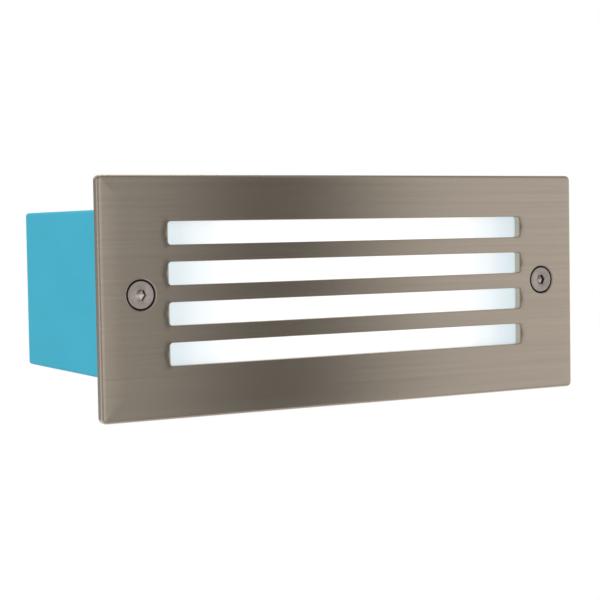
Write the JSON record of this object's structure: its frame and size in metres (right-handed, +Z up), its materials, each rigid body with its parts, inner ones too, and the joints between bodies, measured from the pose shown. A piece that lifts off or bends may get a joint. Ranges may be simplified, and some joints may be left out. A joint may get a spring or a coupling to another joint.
{
  "type": "recessed step light",
  "caption": "Recessed step light in brick format: slotted brushed-steel front plate with captive hex-socket screws, lit frosted diffuser, sealed light unit and plastic recess box.",
  "frame": {"origin": "on the wall's surface, where the front plate's rim bears on it, midway between the cover screws", "axes": "+X along the front plate, to the right as seen from the front; +Y into the wall; +Z up"},
  "size_m": [0.23, 0.1039, 0.096],
  "materials": {
    "plate_steel": "stainless, fine grain along the plate's length",
    "screw_steel": "stainless, matt",
    "clip_steel": "spring steel",
    "seal_rubber": "matt black",
    "gasket_rubber": "matt dark grey silicone",
    "diffuser_glass": "frosted, lit from behind",
    "housing_alloy": "die-cast, fine blasted",
    "reflector_white": "white satin",
    "board_white": "white solder mask",
    "led_phosphor": "yellow phosphor",
    "pad_grey": "soft grey silicone",
    "tray_alloy": "mill finish",
    "small_screw_zinc": "zinc plated",
    "driver_plastic": "off-white, fine texture",
    "terminal_plastic": "natural white nylon",
    "terminal_brass": "turned",
    "lead_brown": "sleeved",
    "lead_blue": "sleeved",
    "lead_green_yellow": "sleeved, green with a yellow stripe",
    "lug_tinned": "tin plated",
    "lead_red": "sleeved",
    "lead_black": "sleeved",
    "gland_plastic": "black nylon",
    "box_blue": "light cyan-blue, moulded",
    "insert_brass": "turned, grooved",
    "plug_rubber": "matt black"
  },
  "bodies": {
    "recess_box": {"recess_box": "box_blue", "insert_left": "insert_brass", "insert_right": "insert_brass", "entry_plug": "plug_rubber"},
    "light_unit": {"unit_housing": "housing_alloy", "diffuser": "diffuser_glass", "diffuser_seal": "gasket_rubber", "reflector_tray": "reflector_white", "led_board": "board_white", "led_chips": "led_phosphor", "led_board_screws": "small_screw_zinc", "thermal_pad": "pad_grey", "gear_tray": "tray_alloy", "gear_tray_screws": "small_screw_zinc", "driver_case": "driver_plastic", "driver_screws": "small_screw_zinc", "terminal_block": "terminal_plastic", "terminal_tubes": "terminal_brass", "terminal_screws": "small_screw_zinc", "terminal_fixing_screws": "small_screw_zinc", "live_lead": "lead_brown", "neutral_lead": "lead_blue", "earth_lead": "lead_green_yellow", "earth_lug": "lug_tinned", "earth_screw": "terminal_brass", "led_lead_positive": "lead_red", "led_lead_negative": "lead_black", "tray_grommet": "seal_rubber", "gland_body": "gland_plastic", "gland_washer": "seal_rubber", "gland_locknut": "gland_plastic", "gland_seal": "seal_rubber", "gland_dome_nut": "gland_plastic"},
    "front_cover": {"front_plate": "plate_steel", "front_gasket": "gasket_rubber", "screw_seal_left": "seal_rubber", "screw_seal_right": "seal_rubber"},
    "screw_clip_left": {"retaining_clip_left": "clip_steel"},
    "cover_screw_left": {"cover_screw_left": "screw_steel"},
    "screw_clip_right": {"retaining_clip_right": "clip_steel"},
    "cover_screw_right": {"cover_screw_right": "screw_steel"}
  },
  "joints": [
    {"name": "unit_slide", "type": "slide", "parent": "recess_box", "child": "light_unit", "axis": [0, -1, 0], "range_m": [0, 0.11]},
    {"name": "cover_slide", "type": "slide", "parent": "light_unit", "child": "front_cover", "axis": [0, -1, 0], "range_m": [0, 0.06]},
    {"name": "screw_travel_left", "type": "slide", "parent": "front_cover", "child": "screw_clip_left", "axis": [0, -1, 0], "range_m": [0, 0.012]},
    {"name": "screw_turn_left", "type": "hinge", "parent": "screw_clip_left", "child": "cover_screw_left", "pos_m": [-0.0977, -0.00375, 0], "axis": [0, -1, 0], "range_deg": [0, 4320]},
    {"name": "screw_travel_right", "type": "slide", "parent": "front_cover", "child": "screw_clip_right", "axis": [0, -1, 0], "range_m": [0, 0.012]},
    {"name": "screw_turn_right", "type": "hinge", "parent": "screw_clip_right", "child": "cover_screw_right", "pos_m": [0.0977, -0.00375, 0], "axis": [0, -1, 0], "range_deg": [0, 4320]}
  ],
  "couplings": [
    {"joint": "screw_turn_left", "follows": "screw_travel_left", "rad_per_m": 6283.2},
    {"joint": "screw_turn_right", "follows": "screw_travel_right", "rad_per_m": 6283.2}
  ]
}
